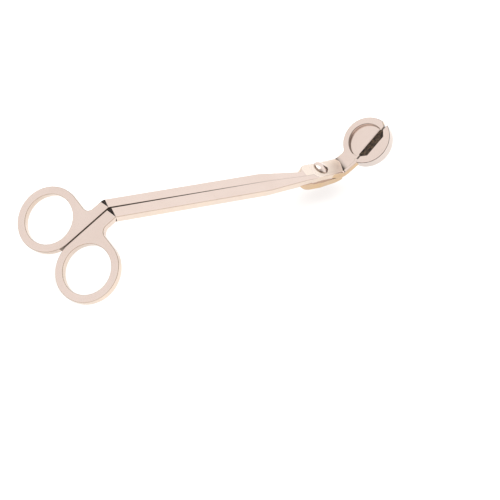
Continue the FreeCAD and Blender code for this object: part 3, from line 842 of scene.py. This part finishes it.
def screw_shape():
    """Shoulder screw: domed head with a rounded edge darkened by painted shade, shoulder and
    threaded end.
    """
    sphere = (HEAD_R ** 2 + HEAD_DOME ** 2) / (2 * HEAD_DOME)
    brim = HEAD_FOOT + HEAD_EDGE
    steps = 12
    profile = []
    for k in range(steps + 1):
        radius = (HEAD_R - DOME_SHORT) * k / steps
        height = brim + HEAD_DOME - sphere + math.sqrt(sphere ** 2 - radius ** 2)
        profile.append((radius, height, FACE_SLOT))
    # The head's rounded edge is the darker rim copy and its foot the dark one: painted shade.
    profile += [(HEAD_R - BRIM_ROUND, brim - BRIM_ROUND, SHADED_RIM_SLOT),
                (HEAD_R, brim - BRIM_DROP, SHADED_RIM_SLOT),
                (HEAD_R, HEAD_FOOT + BRIM_DROP, PAINTED_SHADE_SLOT),
                (HEAD_R - FOOT_BREAK, HEAD_FOOT, SHADED_WALL_SLOT),
                (SHOULDER_R, HEAD_FOOT, SHADED_WALL_SLOT), (SHOULDER_R, -DEEP, SHADED_WALL_SLOT)]
    height = -DEEP
    while height > -2 * PLATE + PITCH:
        profile += [(THREAD_ROOT_R, height, SHADED_WALL_SLOT), (THREAD_R, height - PITCH / 2, SHADED_WALL_SLOT)]
        height -= PITCH
    profile += [(THREAD_END_R, -2 * PLATE, FACE_SLOT), (0, -2 * PLATE, FACE_SLOT)]
    return turned(profile, "pivot_screw_shape")


def nut_shape():
    """Thin round nut with broken edges and a driver slot across its face."""
    low, high = -2 * PLATE, NUT_THICK - 2 * PLATE
    # Edge strips take the darker rim copy and the sides the darker wall copy: painted shade.
    loop = [(THREAD_R, high, FACE_SLOT), (NUT_R - NUT_TOP_BREAK, high, SHADED_RIM_SLOT),
            (NUT_R, high - NUT_TOP_BREAK, SHADED_WALL_SLOT), (NUT_R, low + NUT_BREAK, SHADED_RIM_SLOT),
            (NUT_R - NUT_BREAK, low, FACE_SLOT), (THREAD_R + NUT_BREAK, low, SHADED_RIM_SLOT),
            (THREAD_R, low + NUT_BREAK, SHADED_WALL_SLOT), (THREAD_R, high, SHADED_WALL_SLOT)]
    nut = turned(loop, "pivot_nut_shape")
    size = Matrix.Diagonal((NUT_SLOT_LENGTH, NUT_SLOT_WIDTH, NUT_SLOT_HEIGHT, 1.0))
    bm = bmesh.new()
    bmesh.ops.create_cube(bm, size=1.0, matrix=Matrix.Translation((PIVOT_X, PIVOT_Y, low)) @ size)
    return combine(nut, finished(bm, "slot_cutter"), "DIFFERENCE")


# ---------------------------------------------------------------- pieces
def into_place(obj, name):
    """Moves a finished shape to the CAD frame and lets it stand for its CAD node."""
    move = Matrix.Translation(SHANK_ORIGIN) @ SHANK_TURN.to_4x4() @ Matrix.Scale(MM, 4)
    bm = bmesh.new()
    bm.from_mesh(obj.data)
    bmesh.ops.remove_doubles(bm, verts=bm.verts, dist=LAST_MERGE)
    bmesh.ops.dissolve_degenerate(bm, edges=bm.edges, dist=LAST_MERGE)
    open_edges = [edge for edge in bm.edges if edge.is_boundary]
    bmesh.ops.holes_fill(bm, edges=open_edges, sides=6)
    bmesh.ops.recalc_face_normals(bm, faces=bm.faces[:])
    for face in bm.faces:
        face.smooth = True
    for edge in bm.edges:
        edge.smooth = edge.calc_face_angle(0.0) < SMOOTH_BELOW
    bmesh.ops.transform(bm, matrix=move, verts=bm.verts)
    bm.to_mesh(obj.data)
    bm.free()
    weighted = obj.modifiers.new("normals", "WEIGHTED_NORMAL")
    weighted.weight = 100
    weighted.keep_sharp = True
    bpy.context.view_layer.update()
    result = obj.evaluated_get(bpy.context.evaluated_depsgraph_get())
    mesh = bpy.data.meshes.new_from_object(result)
    obj.modifiers.clear()
    obj.data = mesh
    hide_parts(name)
    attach(obj, frame["nodes"][name]["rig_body"])


blade = combine(blade_flat(), nose_cutter(), "DIFFERENCE")
jaw = combine(blade_jaw(), blade_neck(), "UNION")
into_place(combine(blade, jaw, "UNION"), "blade_lever")
tray = combine(tray_flat(), tray_low(), "UNION")
for hole_r, hole_top in ((THREAD_R, 1 - PLATE), (NUT_R, NUT_THICK - 2 * PLATE)):
    tray = combine(tray, round_cutter(hole_r, -2 * PLATE - 1, hole_top), "DIFFERENCE")
into_place(tray, "tray_lever")
into_place(screw_shape(), "pivot_screw")
into_place(nut_shape(), "pivot_nut")


# ---------------------------------------------------------------- stage
# The floor lies lower than the tool rests, because at 40 degrees the ring of the lever that
# turns swings 8.4 mm below that height.
FLOOR_Z = -0.010
FLOOR_HALF = 6.0
corners = [(-1, -1), (1, -1), (1, 1), (-1, 1)]
mesh = bpy.data.meshes.new("floor")
mesh.from_pydata([(x * FLOOR_HALF, y * FLOOR_HALF, FLOOR_Z) for x, y in corners],
                 [], [(0, 1, 2, 3)])
floor = bpy.data.objects.new("floor", mesh)
bpy.context.scene.collection.objects.link(floor)
paper = bpy.data.materials.new("floor")
paper.use_nodes = True
shader = paper.node_tree.nodes["Principled BSDF"]
shader.inputs["Base Color"].default_value = (0.9, 0.9, 0.9, 1)
shader.inputs["Roughness"].default_value = 0.9
floor.data.materials.append(paper)

# Studio: an even bright sky, dark flags that draw the edges, and lamps for the pivot block.
# Each row is a direction, the cosines where the spot starts and is full, and how much it
# takes from the sky or adds to it.
FLAGS = [
    ((0.05, 0.50, 0.865), 0.915, 0.968, 0.97),
    ((0.25, -0.47, 0.84), 0.900, 0.960, 0.90),
    ((-0.38, -0.90, 0.21), 0.880, 0.960, 0.85),
    ((0.00, -0.05, 1.00), 0.700, 0.900, 0.55),
]
LAMPS = [
    ((0.79, 0.42, 0.447), 0.920, 0.990, 0.06),
    ((0.42, 0.42, 0.804), 0.965, 0.992, 1.60),
]
world = bpy.data.worlds.new("studio")
bpy.context.scene.world = world
world.use_nodes = True
sky = world.node_tree
sky.nodes.clear()
out = sky.nodes.new("ShaderNodeOutputWorld")
back = sky.nodes.new("ShaderNodeBackground")
coord = sky.nodes.new("ShaderNodeTexCoord")


def sky_spot(direction, start, full, height):
    """A soft spot of the sky: 0 away from its direction, height at its middle."""
    dot = sky.nodes.new("ShaderNodeVectorMath")
    dot.operation = "DOT_PRODUCT"
    dot.inputs[1].default_value = Vector(direction).normalized()
    link(sky, coord, "Generated", dot, 0)
    spread = sky.nodes.new("ShaderNodeMapRange")
    spread.interpolation_type = "SMOOTHSTEP"
    spread.inputs["From Min"].default_value = start
    spread.inputs["From Max"].default_value = full
    spread.inputs["To Max"].default_value = height
    link(sky, dot, "Value", spread, "Value")
    return spread


def sky_math(operation, first, second):
    """Two strengths combined; the first may be a plain number."""
    node = sky.nodes.new("ShaderNodeMath")
    node.operation = operation
    if isinstance(first, float):
        node.inputs[0].default_value = first
    else:
        link(sky, first, 0, node, 0)
    link(sky, second, 0, node, 1)
    return node


level = 1.0
for flag in FLAGS:
    level = sky_math("MULTIPLY", level, sky_math("SUBTRACT", 1.0, sky_spot(*flag)))
for lamp in LAMPS:
    level = sky_math("ADD", level, sky_spot(*lamp))
link(sky, level, 0, back, "Strength")
back.inputs["Color"].default_value = (1.0, 0.985, 0.97, 1)
link(sky, back, "Background", out, "Surface")

light = bpy.data.lights.new("overhead", "AREA")
light.shape = "SQUARE"
light.size = 3.0
light.energy = 60
overhead = bpy.data.objects.new("overhead", light)
overhead.location = (0, 0, 2.0)
overhead.visible_glossy = False
bpy.context.scene.collection.objects.link(overhead)
